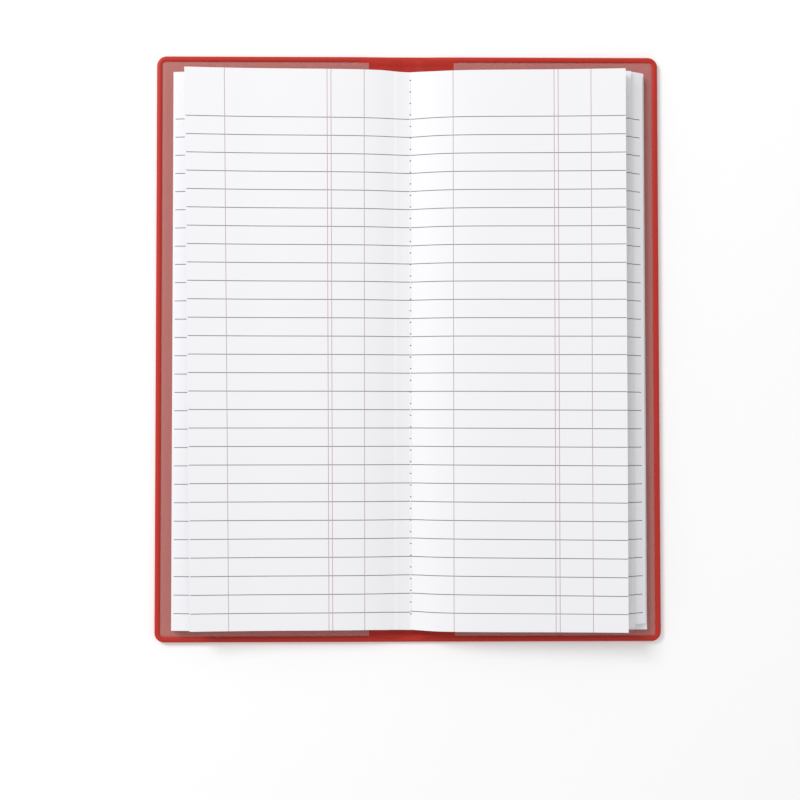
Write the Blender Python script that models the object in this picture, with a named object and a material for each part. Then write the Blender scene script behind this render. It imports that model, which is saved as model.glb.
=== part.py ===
"""Pocket tally book, open flat: a vinyl cover in two halves joined by a flexible spine, a clear pocket on each half,
and a sewn block of ruled leaves whose card cover sits in the pockets.

Units are metres in Blender; the constants below are in millimetres. +X runs to the right-hand page, +Y to the head of
the page and +Z up. The closed book comes from turning the front half over the back half, 90 degrees at each crease.
"""

import math

import bpy

MM = 0.001

# cover
COVER_HALF_W = 88.1
COVER_H = 205.0
CORNER_R = 3.4
PANEL_INNER_X = 9.0
SKIN_INNER_X = 3.8

# spine creases: a strip this wide turns between the two halves
SPINE_W = 7.0
HINGE_Z = 0.5

# inner layers, bottom and top of each
BOARD_Z = (0.50, 1.08)
LINING_Z = (1.15, 1.38)
CARD_Z = (1.45, 1.65)
POCKET_Z = (1.72, 1.86)
LAYER_INNER_X = 4.6
LAYER_OUTER_X = 85.6
LAYER_HALF_Y = 100.1
POCKET_MOUTH_LEFT = 13.65
POCKET_MOUTH_RIGHT = 16.15

# leaves
LEAF_TOP_Y = 96.0
LEAF_BOTTOM_Y = -98.0
LEAF_T = 0.09
LEAF_PITCH = 0.12
LEAF_Z0 = 1.95
LEAVES_UNDER = 11
LEAF_INNER_X = 7.1
LEAF_OUTER_LEFT = 81.9
LEAF_OUTER_RIGHT = 82.9
LEAF_STAGGER = 0.06

# top leaves: height of the paper against distance from the fold, and how far they reach at head and foot
TOP_LEFT = [(7.1, 5.10), (10, 5.50), (15, 6.00), (21, 6.35), (28, 6.60), (40, 6.85), (54, 7.20), (64, 7.80), (71, 8.28), (77.4, 8.80)]
TOP_RIGHT = [(7.1, 5.90), (10, 6.70), (15, 7.50), (21, 8.10), (30, 8.60), (40, 8.95), (50, 9.30), (60, 9.82), (68, 10.35), (75.1, 10.90)]
TOP_LEFT_FOOT_REACH = 0.964
TOP_RIGHT_FOOT_REACH = 0.998

# fold and thread, carried by the spine
FOLD_Z = (1.50, 3.60)
FOLD_HALF_W = 1.4
CARD_FOLD_Z = (1.25, 1.45)
SPINE_LINING_Z = (0.75, 0.95)
THREAD_R = 0.10
NEEDLE_Z = 3.75
BOBBIN_Z = 1.10

# axes that the bodies turn about: x and z
SPINE_AXIS = (SPINE_W / 2, HINGE_Z)
COVER_AXIS = (-SPINE_W / 2, HINGE_Z)
LEAF_RIGHT_AXIS = (2.0, 4.0)
LEAF_LEFT_AXIS = (-2.0, 4.0)

RED = (0.42, 0.035, 0.028, 1)
RED_DARK = (0.33, 0.02, 0.02, 1)
FILM = (0.55, 0.22, 0.20, 1)
PAPER = (0.84, 0.84, 0.86, 1)
CARD = (0.55, 0.42, 0.26, 1)
BOARD = (0.36, 0.33, 0.29, 1)
THREAD = (0.80, 0.80, 0.78, 1)


def clear_scene():
    for obj in list(bpy.data.objects):
        bpy.data.objects.remove(obj, do_unlink=True)


def axis_empty(name, x, z, parent=None):
    """An empty on a turning axis, placed from its parent's own axis."""
    empty = bpy.data.objects.new(name, None)
    bpy.context.scene.collection.objects.link(empty)
    empty["axis_x"], empty["axis_z"] = x, z
    px, pz = (parent["axis_x"], parent["axis_z"]) if parent else (0.0, 0.0)
    empty.parent = parent
    empty.location = ((x - px) * MM, 0, (z - pz) * MM)
    return empty


def material(name, color, roughness):
    mat = bpy.data.materials.new(name)
    mat.use_nodes = True
    shader = mat.node_tree.nodes["Principled BSDF"]
    shader.inputs["Base Color"].default_value = color
    shader.inputs["Roughness"].default_value = roughness
    mat.diffuse_color = color
    return mat


def solid(name, parent, color, roughness, loops, side=1):
    """One closed body skinned over stacked loops, each counter-clockwise seen from above and given in millimetres.
    side -1 mirrors it to the left-hand half."""
    count = len(loops[0])
    ax, az = parent["axis_x"], parent["axis_z"]
    points, faces = [], []
    for loop in loops:
        placed = [((side * x - ax) * MM, y * MM, (z - az) * MM) for x, y, z in loop]
        points += placed if side > 0 else placed[::-1]
    faces.append(tuple(range(count))[::-1])
    for k in range(len(loops) - 1):
        for i in range(count):
            j = (i + 1) % count
            faces.append((k * count + i, k * count + j, (k + 1) * count + j, (k + 1) * count + i))
    faces.append(tuple((len(loops) - 1) * count + i for i in range(count)))
    mesh = bpy.data.meshes.new(name)
    mesh.from_pydata(points, [], faces)
    mesh.update()
    mesh.materials.append(material(name, color, roughness))
    obj = bpy.data.objects.new(name, mesh)
    obj.parent = parent
    bpy.context.scene.collection.objects.link(obj)
    return obj


def half_outline(x_in, x_out, y_low, y_high, radius, steps=6):
    """A sheet's outline with its two outer corners rounded, counter-clockwise from the lower inner corner."""
    points = [(x_in, y_low)]
    for cx, cy, start in ((x_out - radius, y_low + radius, -90), (x_out - radius, y_high - radius, 0)):
        for k in range(steps + 1):
            a = math.radians(start + 90 * k / steps)
            points.append((cx + radius * math.cos(a), cy + radius * math.sin(a)))
    points.append((x_in, y_high))
    return points


def plate(name, parent, color, roughness, outline, z, side=1):
    return solid(name, parent, color, roughness, [[(x, y, h) for x, y in outline] for h in z], side)


def box_outline(x_low, x_high, y_low, y_high):
    return [(x_low, y_low), (x_high, y_low), (x_high, y_high), (x_low, y_high)]


# The cover half's skin, section by section from the outer panel, round the rim, to the bed of the board:
# inset from the outer edge and height there, then x and height at the spine side, where the rim fades out.
SKIN_SECTION = [
    (4.60, 0.00, 9.0, 0.00),
    (3.60, 0.05, 8.6, 0.05),
    (2.95, 0.26, 8.0, 0.25),
    (2.40, 0.40, 7.4, 0.30),
    (1.90, 0.30, 6.4, 0.30),
    (0.95, 0.08, 5.4, 0.30),
    (0.25, 0.40, 4.5, 0.30),
    (0.00, 0.95, 3.8, 0.32),
    (0.28, 1.55, 3.8, 0.52),
    (1.00, 1.86, 3.9, 0.70),
    (1.72, 1.60, 4.6, 0.70),
    (2.10, 1.02, 5.4, 0.70),
    (2.45, 0.84, 6.4, 0.70),
    (4.90, 0.43, 9.3, 0.43),
]


def skin_loops():
    loops = []
    for inset, z_rim, x_spine, z_spine in SKIN_SECTION:
        x_out = COVER_HALF_W - inset
        y_out = COVER_H / 2 - inset
        radius = max(CORNER_R - inset, 0.25)
        outline = half_outline(PANEL_INNER_X + 2.5, x_out, -y_out, y_out, radius)
        loop = [(x_spine, -y_out, z_spine)]
        loop += [(x, y, z_rim) for x, y in outline]
        loop.append((x_spine, y_out, z_spine))
        loops.append(loop)
    return loops


def top_leaf(name, parent, profile, foot_reach, side):
    """A leaf bent along the page's height: the paper's section at the foot and at the head, skinned between."""
    loops = []
    for y, reach in ((LEAF_BOTTOM_Y, foot_reach), (LEAF_TOP_Y, 1.0)):
        inner = profile[0][0]
        xs = [inner + (x - inner) * reach for x, _ in profile]
        under = [(x, y, z) for x, (_, z) in zip(xs, profile)]
        over = [(x, y, z + LEAF_T) for x, (_, z) in zip(xs, profile)]
        loops.append(over + under[::-1])
    return solid(name, parent, PAPER, 0.8, loops, side)


def thread(name, parent, z):
    loops = []
    for y in (LEAF_TOP_Y - 4, LEAF_BOTTOM_Y + 4):
        loops.append([(THREAD_R * math.cos(a), y, z + THREAD_R * math.sin(a)) for a in (math.tau * k / 8 for k in range(8))])
    return solid(name, parent, THREAD, 0.7, loops)


clear_scene()
scene = bpy.context.scene
scene.unit_settings.system = "METRIC"
scene.unit_settings.scale_length = 1.0

back_frame = axis_empty("back_cover_frame", 0.0, 0.0)
spine_frame = axis_empty("spine_axis", *SPINE_AXIS, back_frame)
front_frame = axis_empty("cover_axis", *COVER_AXIS, spine_frame)
leaf_right_frame = axis_empty("leaf_right_axis", *LEAF_RIGHT_AXIS, back_frame)
leaf_left_frame = axis_empty("leaf_left_axis", *LEAF_LEFT_AXIS, front_frame)

for half, frame, side, hand, mouth, reach in (
    ("back", back_frame, 1, "right", POCKET_MOUTH_RIGHT, LEAF_OUTER_RIGHT),
    ("front", front_frame, -1, "left", POCKET_MOUTH_LEFT, LEAF_OUTER_LEFT),
):
    solid(half + "_outer_skin", frame, RED, 0.5, skin_loops(), side)
    plate(half + "_board", frame, BOARD, 0.9, half_outline(10.2, 82.9, -97.4, 97.4, 1.5, 3), BOARD_Z, side)
    sheet = half_outline(LAYER_INNER_X, LAYER_OUTER_X, -LAYER_HALF_Y, LAYER_HALF_Y, 1.2, 3)
    plate(half + "_lining", frame, RED_DARK, 0.5, sheet, LINING_Z, side)
    plate(half + "_card", frame, CARD, 0.9, half_outline(LAYER_INNER_X, reach, LEAF_BOTTOM_Y, LEAF_TOP_Y, 1.0, 3), CARD_Z, side)
    film = half_outline(mouth, LAYER_OUTER_X, -LAYER_HALF_Y, LAYER_HALF_Y, 1.2, 3)
    plate(half + "_pocket", frame, FILM, 0.4, film, POCKET_Z, side)
    for k in range(LEAVES_UNDER):
        z = LEAF_Z0 + k * LEAF_PITCH
        outline = box_outline(LEAF_INNER_X, reach - k * LEAF_STAGGER, LEAF_BOTTOM_Y, LEAF_TOP_Y)
        plate("leaf_%s_%02d" % (hand, k + 1), frame, PAPER, 0.8, outline, (z, z + LEAF_T), side)

top_leaf("leaf_right_top", leaf_right_frame, TOP_RIGHT, TOP_RIGHT_FOOT_REACH, 1)
top_leaf("leaf_left_top", leaf_left_frame, TOP_LEFT, TOP_LEFT_FOOT_REACH, -1)

half_y = COVER_H / 2
plate("spine_skin", spine_frame, RED, 0.5, box_outline(-3.2, 3.2, -half_y, half_y), (0.30, 0.70))
plate("spine_lining", spine_frame, RED_DARK, 0.5, box_outline(-2.9, 2.9, -LAYER_HALF_Y, LAYER_HALF_Y), SPINE_LINING_Z)
plate("card_fold", spine_frame, CARD, 0.9, box_outline(-2.5, 2.5, LEAF_BOTTOM_Y, LEAF_TOP_Y), CARD_FOLD_Z)

fold = []
for share, z in ((1.0, FOLD_Z[0]), (1.0, FOLD_Z[0] + 1.0), (0.72, FOLD_Z[1] - 0.35), (0.3, FOLD_Z[1])):
    w = FOLD_HALF_W * share
    fold.append([(x, y, z) for x, y in box_outline(-w, w, LEAF_BOTTOM_Y, LEAF_TOP_Y)])
solid("section_fold", spine_frame, PAPER, 0.8, fold)
thread("needle_thread", spine_frame, NEEDLE_Z)
thread("bobbin_thread", spine_frame, BOBBIN_Z)
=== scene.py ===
import bpy
import math
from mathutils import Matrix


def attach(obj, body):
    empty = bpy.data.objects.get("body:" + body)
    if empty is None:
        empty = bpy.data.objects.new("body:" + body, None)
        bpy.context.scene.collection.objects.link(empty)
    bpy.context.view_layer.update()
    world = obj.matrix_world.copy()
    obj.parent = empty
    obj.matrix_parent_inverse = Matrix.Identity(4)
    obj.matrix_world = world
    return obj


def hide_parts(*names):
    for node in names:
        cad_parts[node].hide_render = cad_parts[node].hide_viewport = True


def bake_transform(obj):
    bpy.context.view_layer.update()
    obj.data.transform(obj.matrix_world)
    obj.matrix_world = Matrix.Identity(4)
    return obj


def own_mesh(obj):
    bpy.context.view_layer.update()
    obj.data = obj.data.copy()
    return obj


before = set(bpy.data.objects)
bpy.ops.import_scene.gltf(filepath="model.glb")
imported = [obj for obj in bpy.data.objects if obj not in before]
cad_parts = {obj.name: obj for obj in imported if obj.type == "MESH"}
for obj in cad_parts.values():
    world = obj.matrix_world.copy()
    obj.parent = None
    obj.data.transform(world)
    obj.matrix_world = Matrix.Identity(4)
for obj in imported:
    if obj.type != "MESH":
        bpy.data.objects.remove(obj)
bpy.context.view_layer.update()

MM = 0.001

# ------------------------------------------------------------------ helpers


def srgb(r, g, b, a=1.0):
    def lin(c):
        c /= 255.0
        return c / 12.92 if c <= 0.04045 else ((c + 0.055) / 1.055) ** 2.4

    return (lin(r), lin(g), lin(b), a)


def smooth01(t):
    t = max(0.0, min(1.0, t))
    return t * t * (3 - 2 * t)


def interp(table, x):
    """Smooth curve through a table of (x, value), flat past its ends."""
    if x <= table[0][0]:
        return table[0][1]
    if x >= table[-1][0]:
        return table[-1][1]
    for k in range(len(table) - 1):
        (x0, y0), (x1, y1) = table[k], table[k + 1]
        if x <= x1:
            before = table[k - 1] if k else (x0 - (x1 - x0), y0 - (y1 - y0))
            after = table[k + 2] if k + 2 < len(table) else (x1 + (x1 - x0), y1 + (y1 - y0))
            m0 = (y1 - before[1]) / (x1 - before[0]) * (x1 - x0)
            m1 = (after[1] - y0) / (after[0] - x0) * (x1 - x0)
            t = (x - x0) / (x1 - x0)
            return (
                (2 * t**3 - 3 * t**2 + 1) * y0
                + (t**3 - 2 * t**2 + t) * m0
                + (3 * t**2 - 2 * t**3) * y1
                + (t**3 - t**2) * m1
            )


def spread(points, step):
    """Values through the given stops, with none further apart than step."""
    out = [points[0]]
    for a, b in zip(points, points[1:]):
        n = max(1, math.ceil(abs(b - a) / step - 1e-6))
        out += [a + (b - a) * k / n for k in range(1, n + 1)]
    return out


def add_mesh(name, points, faces, mats, index=None, smooth=True, side=1):
    """A mesh object from points in millimetres. side -1 mirrors it to the left half."""
    mesh = bpy.data.meshes.new(name)
    placed = [(side * x * MM, y * MM, z * MM) for x, y, z in points]
    mesh.from_pydata(placed, [], [f if side > 0 else f[::-1] for f in faces])
    mesh.update()
    for m in mats:
        mesh.materials.append(m)
    if index:
        mesh.polygons.foreach_set("material_index", index)
    mesh.polygons.foreach_set("use_smooth", [smooth] * len(mesh.polygons))
    if smooth:
        mesh.set_sharp_from_angle(angle=math.radians(42))
    obj = bpy.data.objects.new(name, mesh)
    bpy.context.scene.collection.objects.link(obj)
    return obj


def thin_sheet(name, xs, ys, place, thickness, mats, side=1, above=None, below=None, edge=0):
    """A closed sheet: place(x, y) gives the upper surface's point, and the under side lies straight below it.
    above and below give a face's material from its middle."""
    nx, ny = len(xs), len(ys)
    points = [place(x, y) for y in ys for x in xs]
    points += [(p[0], p[1], p[2] - thickness) for p in points]
    faces, index = [], []
    low = nx * ny
    for j in range(ny - 1):
        for i in range(nx - 1):
            a = j * nx + i
            faces.append((a, a + 1, a + nx + 1, a + nx))
            mid = ((xs[i] + xs[i + 1]) / 2, (ys[j] + ys[j + 1]) / 2)
            index.append(above(*mid) if above else 0)
            faces.append((low + a, low + a + nx, low + a + nx + 1, low + a + 1))
            index.append(below(*mid) if below else 0)
    rim = [j * nx + i for j, i in [(0, i) for i in range(nx)]]
    rim += [j * nx + nx - 1 for j in range(1, ny)]
    rim += [(ny - 1) * nx + i for i in range(nx - 2, -1, -1)]
    rim += [j * nx for j in range(ny - 2, 0, -1)]
    for k, a in enumerate(rim):
        b = rim[(k + 1) % len(rim)]
        faces.append((a, low + a, low + b, b))
        index.append(edge)
    return add_mesh(name, points, faces, mats, index, True, side)


# ------------------------------------------------------------------ materials


def new_material(name, color, roughness, specular=0.5):
    mat = bpy.data.materials.new(name)
    mat.use_nodes = True
    shader = mat.node_tree.nodes["Principled BSDF"]
    shader.inputs["Base Color"].default_value = color
    shader.inputs["Roughness"].default_value = roughness
    shader.inputs["Specular IOR Level"].default_value = specular
    return mat, shader


def add_bump(mat, shader, scale, strength, distance, detail=3.0):
    tree = mat.node_tree
    coords = tree.nodes.new("ShaderNodeTexCoord")
    noise = tree.nodes.new("ShaderNodeTexNoise")
    noise.inputs["Scale"].default_value = scale
    noise.inputs["Detail"].default_value = detail
    bump = tree.nodes.new("ShaderNodeBump")
    bump.inputs["Strength"].default_value = strength
    bump.inputs["Distance"].default_value = distance
    tree.links.new(coords.outputs["Object"], noise.inputs["Vector"])
    tree.links.new(noise.outputs["Fac"], bump.inputs["Height"])
    tree.links.new(bump.outputs["Normal"], shader.inputs["Normal"])


vinyl, s = new_material("cover_vinyl_red", srgb(187, 46, 35), 0.48, 0.26)
add_bump(vinyl, s, 2600.0, 0.35, 0.00006)
lining_mat, s = new_material("lining_vinyl_red", srgb(181, 42, 31), 0.5, 0.24)
add_bump(lining_mat, s, 1400.0, 0.08, 0.00005)
film, s = new_material("pocket_film_frosted", srgb(222, 166, 160), 0.45, 0.3)
s.inputs["Alpha"].default_value = 0.27
film.blend_method = "BLEND"
paper, s = new_material("ruled_paper", srgb(243, 243, 246), 0.85, 0.2)
add_bump(paper, s, 1500.0, 0.12, 0.00005)
rule_grey, _ = new_material("rule_grey", srgb(112, 109, 126), 0.85, 0.15)
rule_rose, _ = new_material("rule_rose", srgb(192, 166, 176), 0.85, 0.15)
card_mat, _ = new_material("buff_card", srgb(200, 178, 140), 0.85, 0.2)
board_mat, _ = new_material("grey_board", srgb(150, 145, 135), 0.95, 0.1)
thread_mat, _ = new_material("white_thread", srgb(238, 238, 236), 0.7, 0.2)
# painted shade: the needle holes are solid plugs coloured grey to stand for the dark inside of each hole
hole_shade_mat, _ = new_material("needle_hole", srgb(128, 124, 130), 0.9, 0.1)

for node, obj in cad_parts.items():
    if "board" in node:
        look = board_mat
    elif "card" in node:
        look = card_mat
    elif "thread" in node:
        look = thread_mat
    elif "leaf" in node or "fold" in node:
        look = paper
    elif "pocket" in node:
        look = film
    elif "lining" in node:
        look = lining_mat
    else:
        look = vinyl
    obj.data.materials.clear()
    obj.data.materials.append(look)

# ------------------------------------------------------------------ cover

HALF_W, HALF_H, CORNER = 88.1, 102.5, 3.4
BEAD_W, BEAD_LOW, BEAD_HIGH = 2.25, 0.08, 1.98

# where the cover bends at each crease: the cover half's end and the spine's end
BEND_COVER, BEND_SPINE = 6.2, 0.8


def rim_path():
    """Outer edge of one half from the spine's middle at the foot, round the corners, to the spine's middle at the head:
    (x, y, inward x, inward y)."""
    out = []
    along = spread([0.0, 10.0], 0.7) + spread([10.0, HALF_W - CORNER], 9.0)[1:]
    out += [(x, -HALF_H, 0.0, 1.0) for x in along[:-1]]
    for cy, start in ((-(HALF_H - CORNER), -90), (HALF_H - CORNER, 0)):
        for k in range(13):
            a = math.radians(start + 90 * k / 12)
            out.append((HALF_W - CORNER + CORNER * math.cos(a), cy + CORNER * math.sin(a), -math.cos(a), -math.sin(a)))
        if start == -90:
            ys = spread([-(HALF_H - CORNER), HALF_H - CORNER], 9.0)[1:-1]
            out += [(HALF_W, y, -1.0, 0.0) for y in ys]
    out += [(x, HALF_H, 0.0, -1.0) for x in along[::-1][1:]]
    return out


def bead_section(x):
    """The welded rim's section: (inset, height), a flattened round, lower over the spine."""
    slim = 0.56 + 0.44 * smooth01((x - 6.0) / 9.0)
    mid, half = (BEAD_LOW + BEAD_HIGH) / 2, (BEAD_HIGH - BEAD_LOW) / 2 * slim
    out = []
    for k in range(20):
        a = math.tau * k / 20
        c, sn = math.cos(a), math.sin(a)
        px = math.copysign(abs(c) ** 0.9, c)
        pz = math.copysign(abs(sn) ** 0.9, sn)
        out.append((BEAD_W / 2 - BEAD_W / 2 * px, mid - (1 - slim) * 0.45 + half * pz))
    return out


def make_rim(name, side):
    path = rim_path()
    points, faces = [], []
    for x, y, nx, ny in path:
        for inset, z in bead_section(x):
            points.append((x + nx * inset, y + ny * inset, z))
    n = 20
    for k in range(len(path) - 1):
        for i in range(n):
            j = (i + 1) % n
            faces.append((k * n + i, (k + 1) * n + i, (k + 1) * n + j, k * n + j))
    faces.append(tuple(range(n)))
    last = (len(path) - 1) * n
    faces.append(tuple(last + i for i in range(n))[::-1])
    return add_mesh(name, points, faces, [vinyl], None, True, side)


def panel_inside(x, y):
    """Distance inside the raised panel's rounded outline, negative outside it."""
    r = 3.2
    cx, hx, hy = (9.0 + 84.9) / 2, (84.9 - 9.0) / 2 - r, 99.3 - r
    dx, dy = abs(x - cx) - hx, abs(y) - hy
    outside = math.hypot(max(dx, 0), max(dy, 0)) + min(max(dx, dy), 0)
    return r - outside


def outer_face(x, y):
    """Height of the cover's outer face: the panel lies on the table, and the groove and the spine band stand off it."""
    e = panel_inside(x, y)
    band = 0.40
    if x < 9.5:
        band += 0.035 * math.cos(math.tau * x / 1.5) * smooth01((9.5 - x) / 1.5)
    fall = 1 - smooth01((e + 0.1) / 2.9)
    crown = 0.05 * (1 - smooth01(e / 14.0)) if e > 0 else 0.05
    return band * fall + crown * (1 - fall)


def make_outer(name, side):
    xs = spread([0, 9.0], 0.375) + spread([9.0, 12.5], 0.35)[1:] + spread([12.5, 24, 80.5], 6.0)[1:]
    xs += spread([80.5, 86.6], 0.38)[1:]
    edge = spread([94.5, 101.1], 0.4)
    ys = [-y for y in edge[::-1]] + spread([-94.5, -80, 80, 94.5], 9.0)[1:-1] + edge
    thick = 0.3
    return thin_sheet(name, xs, ys, lambda x, y: (x, y, outer_face(x, y) + thick), thick, [vinyl], side)


def lining_height(x, y):
    z = 0.95 + 0.43 * smooth01((x - 2.0) / 4.0)
    z += 0.34 * (1 - smooth01((x - 17) / 3)) * smooth01((abs(y) - 98.6) / 1.9)
    return z - 0.3 * smooth01((x - 17) / 3) * (1 - smooth01((86.4 - x) / 1.6) * smooth01((101.0 - abs(y)) / 1.6))


def make_lining(name, side):
    xs = spread([0, 9.0, 21.0], 0.6) + spread([21.0, 83.5], 8.0)[1:] + spread([83.5, 86.5], 0.6)[1:]
    ys = spread([-101.2, -98.5], 0.5) + spread([-98.5, 98.5], 8.0)[1:] + spread([98.5, 101.2], 0.5)[1:]

    def place(x, y):
        z = lining_height(x, y)
        if side < 0:  # a soft pucker beside the fold, at head and foot
            z += 0.10 * math.exp(-(((x - 3.2) / 1.1) ** 2)) * smooth01((abs(y) - 88) / 10)
        return (x, y, z)

    return thin_sheet(name, xs, ys, place, 0.2, [lining_mat], side)


def make_pocket(name, side, mouth):
    xs = spread([mouth, mouth + 1.2, mouth + 8], 0.6) + spread([mouth + 8, 83.5], 7.0)[1:] + spread([83.5, 86.6], 0.6)[1:]
    ys = spread([-101.0, -98.5], 0.5) + spread([-98.5, -96, 96, 98.5], 5.0)[1:] + spread([98.5, 101.0], 0.5)[1:]

    def place(x, y):
        lift = 0.10 * math.exp(-(x - mouth) / 2.5) * (0.6 + 0.4 * math.sin(y / 9.0))
        rim = smooth01((86.6 - x) / 1.3) * smooth01((101.0 - abs(y)) / 1.3)
        return (x, y, 1.52 + (0.34 + lift) * rim)

    return thin_sheet(name, xs, ys, place, 0.14, [film], side)


for half, side, mouth in (("back", 1, 16.15), ("front", -1, 13.65)):
    body = half + "_cover"
    start, end = (side * BEND_COVER * MM, 0, 0), (side * BEND_SPINE * MM, 0, 0)
    skin = make_outer(half + "_cover_skin", side)
    rim = make_rim(half + "_cover_rim", side)
    inner = make_lining(half + "_cover_lining", side)
    for piece, slot in ((skin, "cover_vinyl"), (rim, "cover_vinyl"), (inner, "lining_vinyl")):
        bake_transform(piece)
        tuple(start)
        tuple(end)
    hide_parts(half + "_outer_skin", *(["spine_skin"] if side > 0 else []))
    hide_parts(half + "_outer_skin")
    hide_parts(half + "_lining", *(["spine_lining"] if side > 0 else []))
    pocket = make_pocket(half + "_pocket_film", side, mouth)
    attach(pocket, body)
    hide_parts(half + "_pocket")

# ------------------------------------------------------------------ leaves

HEAD, FOOT = 96.0, -98.0
LEAF_T = 0.09
RULES, RULE_PITCH, FIRST_RULE = 28, 6.35, 79.78
RULE_HALF, COLUMN_HALF = 0.13, 0.12

# column lines, distance from the fold
LEFT_COLUMNS = [15.3, 26.85, 28.2, 63.7]
RIGHT_COLUMNS = [15.6, 50.5, 51.9, 63.2]

# the top leaves' height against distance from the fold
LEFT_TOP = [(-0.6, 3.74), (0.6, 3.83), (2.2, 4.00), (4.2, 4.33), (7.1, 4.87), (10, 5.40), (15, 5.97), (21, 6.35), (28, 6.60), (40, 6.85), (54, 7.20), (64, 7.80), (71, 8.28), (77.4, 8.80)]
RIGHT_TOP = [(0.6, 3.74), (1.4, 3.92), (2.6, 4.30), (4.2, 4.85), (7.1, 5.80), (10, 6.60), (15, 7.50), (21, 8.10), (30, 8.60), (40, 8.95), (50, 9.30), (60, 9.82), (68, 10.35), (75.1, 10.90)]

# a top leaf turns as one piece outside this distance; inside it the paper belongs to the fold
LEAF_START = 4.2
FOLD_ENDS = (96.35, -97.9)
# the height the fold's paper drops to under the top leaf, low enough for the book to shut on it
FOLD_EDGE = 3.72

# the leaves just under the top one fan out: number, reach, height near the fore-edge and at it, and where its foot ends
LEFT_FAN = [(10, 81.9, 3.55, 3.45, -98.0), (11, 81.75, 5.1, 4.5, -97.9)]
RIGHT_FAN = [(9, 82.7, 4.0, 3.7, -98.0), (10, 82.1, 7.2, 4.5, -95.8), (11, 77.6, 7.9, 7.5, -97.0)]


# how far a fanned leaf's rules stop short of its fore-edge
FAN_INSET = {("left", 10): 0.8, ("left", 11): 0.8, ("right", 9): 1.0, ("right", 10): 1.15, ("right", 11): 0.0}


def fan_profile(number, reach, near, edge, fold_height):
    """A fanned leaf's height: from the fold down to the stack, then rising towards its fore-edge, which curls down.
    The uppermost fanned leaf carries on from the fold's paper."""
    base = 3.12 + 0.12 * (number - 9)
    start = max(fold_height, base + 0.45) if number == 11 else base + 0.45
    out = [(7.0, start), (8.3, base + (start - base) * math.exp(-1.3 / 6))]
    turn = min(75.5, reach - 2.5)
    for x in (10, 14, 20, 30, 42, 55, 66, turn):
        out.append((x, base + (near - base) * ((x - 7) / (turn - 7)) ** 1.35 + (start - base) * math.exp(-(x - 7) / 6)))
    out.append(((turn + reach) / 2, near + (edge - near) * 0.36))
    out.append((reach, edge))
    return out


def rule_lines(inner, outer, columns, inset, head, foot, first):
    """Grid stops of a ruled page and the test that says which faces are ink."""
    rows = [first - k * RULE_PITCH for k in range(RULES)]
    ys = [foot, foot + 1.5]
    for r in rows[::-1]:
        ys += [r - RULE_HALF, r + RULE_HALF]
    ys = sorted(ys + [head - 8, head - 1.5, head])
    stops = {inner, outer} | ({outer - inset} if inset else set())
    stops |= {c + s * COLUMN_HALF for c in columns for s in (-1, 1) if inner < c < outer}
    xs = sorted(stops)
    xs = spread(xs, 3.0)

    def ink(x, y, cols=columns, step=inset):
        if any(abs(x - c) < COLUMN_HALF for c in cols):
            return 2
        if x < outer - step and any(abs(y - r) < RULE_HALF for r in rows):
            return 1
        return 0

    return xs, ys, ink


def make_leaf(name, side, profile, columns, foot_reach, inset, head=HEAD, foot=FOOT, first=FIRST_RULE, inner=None, outer=None, tuck=0.0, dip=0.0, meet=None, slant=0.0):
    inner = profile[0][0] if inner is None else inner
    outer = profile[-1][0] if outer is None else outer
    xs, ys, ink = rule_lines(inner, outer, columns, inset, head, foot, first)
    xs = sorted(set([round(x, 4) for x in xs] + [round(inner + k * 0.6, 4) for k in range(1, 8)]))

    def place(x, y):
        t = (head - y) / (head - foot)
        reach = 1 + (foot_reach - 1) * t * smooth01((x - inner) / 20)
        z = interp(profile, x) + LEAF_T - dip * smooth01((x - LEAF_START - 0.9) / 1.9) - tuck * (1 - smooth01((x - LEAF_START) / 1.7))
        y -= slant * x / 75.0 * (0.3 + 0.7 * t) * smooth01((min(head, -foot) - abs(y)) / 8.0)
        if meet:  # both sides of the fold end level where they meet
            end, level = (head, meet[0]) if y > 0 else (foot, meet[1])
            y += (level - end) * (1 - smooth01(x / 11.0)) * smooth01((abs(y) - 82.0) / 14.0)
        return (inner + (x - inner) * reach, y, z)

    return thin_sheet(name, xs, ys, place, LEAF_T, [paper, rule_grey, rule_rose], side, ink, ink)


for hand, half, side, top, fan, columns, reach in (
    ("left", "front", -1, LEFT_TOP, LEFT_FAN, LEFT_COLUMNS, 0.964),
    ("right", "back", 1, RIGHT_TOP, RIGHT_FAN, RIGHT_COLUMNS, 0.998),
):
    cover = half + "_cover"
    head, foot = (96.7, -97.65) if side < 0 else (96.0, -98.1)
    page = make_leaf("leaf_%s_top_page" % hand, side, top, columns, reach, 0.1 if side > 0 else 0.35, head, foot, inner=LEAF_START, tuck=0.03, meet=FOLD_ENDS, slant=0.5 if side > 0 else 0.0)
    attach(page, "leaf_" + hand)
    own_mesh(page)
    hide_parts("leaf_%s_top" % hand)
    bend = make_leaf("leaf_%s_fold_paper" % hand, side, top, [], 1.0, 0.0, head, foot, outer=7.4, dip=interp(top, 7.4) - FOLD_EDGE, meet=FOLD_ENDS)
    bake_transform(bend)
    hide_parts("leaf_%s_11" % hand)
    for number, out, near, edge, low in fan:
        leaf = make_leaf("leaf_%s_%02d_page" % (hand, number), side, fan_profile(number, out, near, edge, FOLD_EDGE + 0.05), columns, 1.0, FAN_INSET[hand, number], HEAD, low, FIRST_RULE - 0.35)
        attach(leaf, cover)
        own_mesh(leaf)
        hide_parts("leaf_%s_%02d" % (hand, number))

# ------------------------------------------------------------------ seam

STITCH, SEAM_HEAD, SEAM_FOOT, SEAM_X = 4.04, 93.45, -95.5, 0.85


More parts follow.
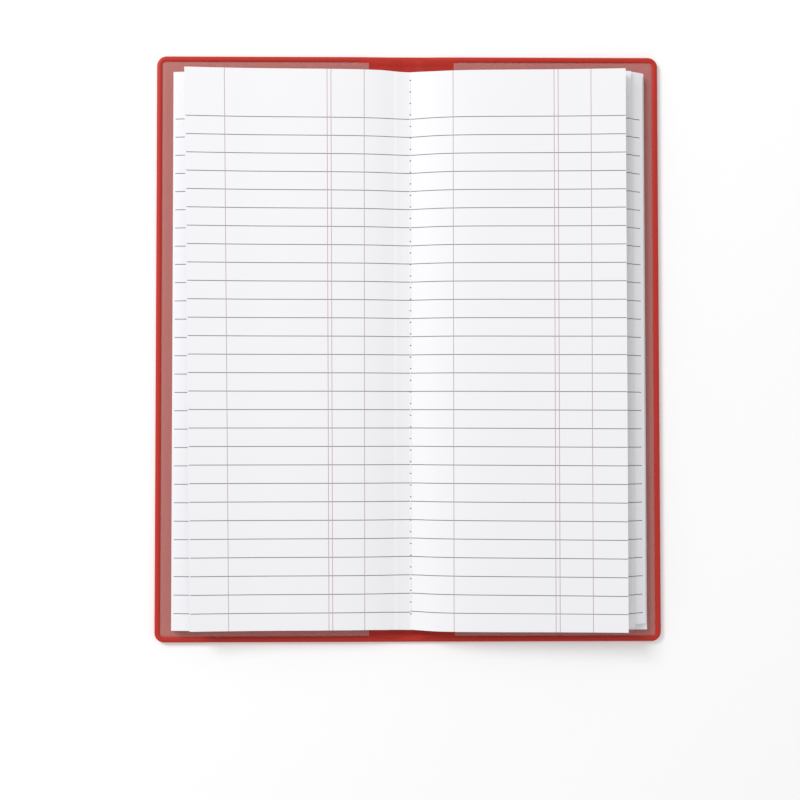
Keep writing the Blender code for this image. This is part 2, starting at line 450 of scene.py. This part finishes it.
def make_seam():
    """The needle thread: a short raised stitch between each two holes along the fold."""
    points, faces = [], []
    count = int((SEAM_HEAD - SEAM_FOOT) / STITCH)
    for k in range(count):
        y0 = SEAM_HEAD - k * STITCH - 0.3
        y1 = y0 - STITCH + 0.6
        base = len(points)
        stops = 7
        for q in range(stops):
            t = q / (stops - 1)
            y = y0 + (y1 - y0) * t
            arch = math.sin(math.pi * t) ** 0.5
            r = 0.05 + 0.10 * arch
            for m in range(8):
                a = math.tau * m / 8
                points.append((SEAM_X + r * math.cos(a), y, 3.80 + 0.12 * arch + r * math.sin(a)))
        for q in range(stops - 1):
            for m in range(8):
                n = (m + 1) % 8
                faces.append((base + q * 8 + m, base + q * 8 + n, base + (q + 1) * 8 + n, base + (q + 1) * 8 + m))
        faces.append(tuple(base + m for m in range(8))[::-1])
        faces.append(tuple(base + (stops - 1) * 8 + m for m in range(8)))
    return add_mesh("needle_stitches", points, faces, [thread_mat])


# each needle hole is a closed grey plug through the fold's paper, painted shade in place of an opening
def make_holes():
    points, faces = [], []
    for k in range(int((SEAM_HEAD - SEAM_FOOT) / STITCH) + 1):
        y = SEAM_HEAD - k * STITCH
        base = len(points)
        for z in (3.70, 3.99):
            points += [(SEAM_X + 0.24 * math.cos(math.tau * m / 10), y + 0.24 * math.sin(math.tau * m / 10), z) for m in range(10)]
        faces.append(tuple(base + m for m in range(10))[::-1])
        faces.append(tuple(base + 10 + m for m in range(10)))
        for m in range(10):
            n = (m + 1) % 10
            faces.append((base + m, base + n, base + 10 + n, base + 10 + m))
    return add_mesh("needle_holes", points, faces, [hole_shade_mat], None, False)


seam = make_seam()
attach(seam, "spine")
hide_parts("needle_thread")
holes = make_holes()
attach(holes, "spine")

# ------------------------------------------------------------------ stage, light, camera

scene = bpy.context.scene
bpy.ops.mesh.primitive_plane_add(size=6, location=(0, 0, -0.0001))
floor = bpy.context.object
floor.name = "floor"
floor_mat, s = new_material("floor_white", (0.95, 0.95, 0.95, 1), 0.9, 0.0)
s.inputs["Emission Color"].default_value = (1, 1, 1, 1)
s.inputs["Emission Strength"].default_value = 0.08
floor.data.materials.append(floor_mat)


def area(name, location, target, size, power):
    light = bpy.data.lights.new(name, "AREA")
    light.shape = "DISK"
    light.size = size
    light.energy = power
    obj = bpy.data.objects.new(name, light)
    scene.collection.objects.link(obj)
    obj.location = location
    from mathutils import Vector

    obj.rotation_euler = (Vector(target) - Vector(location)).to_track_quat("-Z", "Y").to_euler()
    return obj


area("key", (-0.74, 0.66, 0.86), (0, 0, 0), 0.50, 9.1)
world = bpy.data.worlds.new("world")
scene.world = world
world.use_nodes = True
world.node_tree.nodes["Background"].inputs["Color"].default_value = (1, 1, 1, 1)
background = world.node_tree.nodes["Background"]
background.inputs["Strength"].default_value = 0.66
# the camera sees the far wall as bright as the far floor, so no horizon shows in a low view
rays = world.node_tree.nodes.new("ShaderNodeLightPath")
wall = world.node_tree.nodes.new("ShaderNodeMath")
wall.operation = "MULTIPLY_ADD"
wall.inputs[1].default_value = 0.047
wall.inputs[2].default_value = 0.66
world.node_tree.links.new(rays.outputs["Is Camera Ray"], wall.inputs[0])
world.node_tree.links.new(wall.outputs[0], background.inputs["Strength"])

camera = bpy.data.cameras.new("camera")
camera.lens, camera.sensor_width = 58.0, 36.0
camera.clip_start, camera.clip_end = 0.01, 20
cam = bpy.data.objects.new("camera", camera)
scene.collection.objects.link(cam)
cam.location = (-0.00915, -0.03177, 0.45153)
cam.rotation_euler = (math.radians(1.706), math.radians(-0.803), math.radians(-0.045))
scene.camera = cam

scene.render.engine = "CYCLES"
scene.view_settings.view_transform = "Standard"
scene.view_settings.look = "None"
scene.view_settings.exposure = 0.0
scene.cycles.transparent_max_bounces = 12
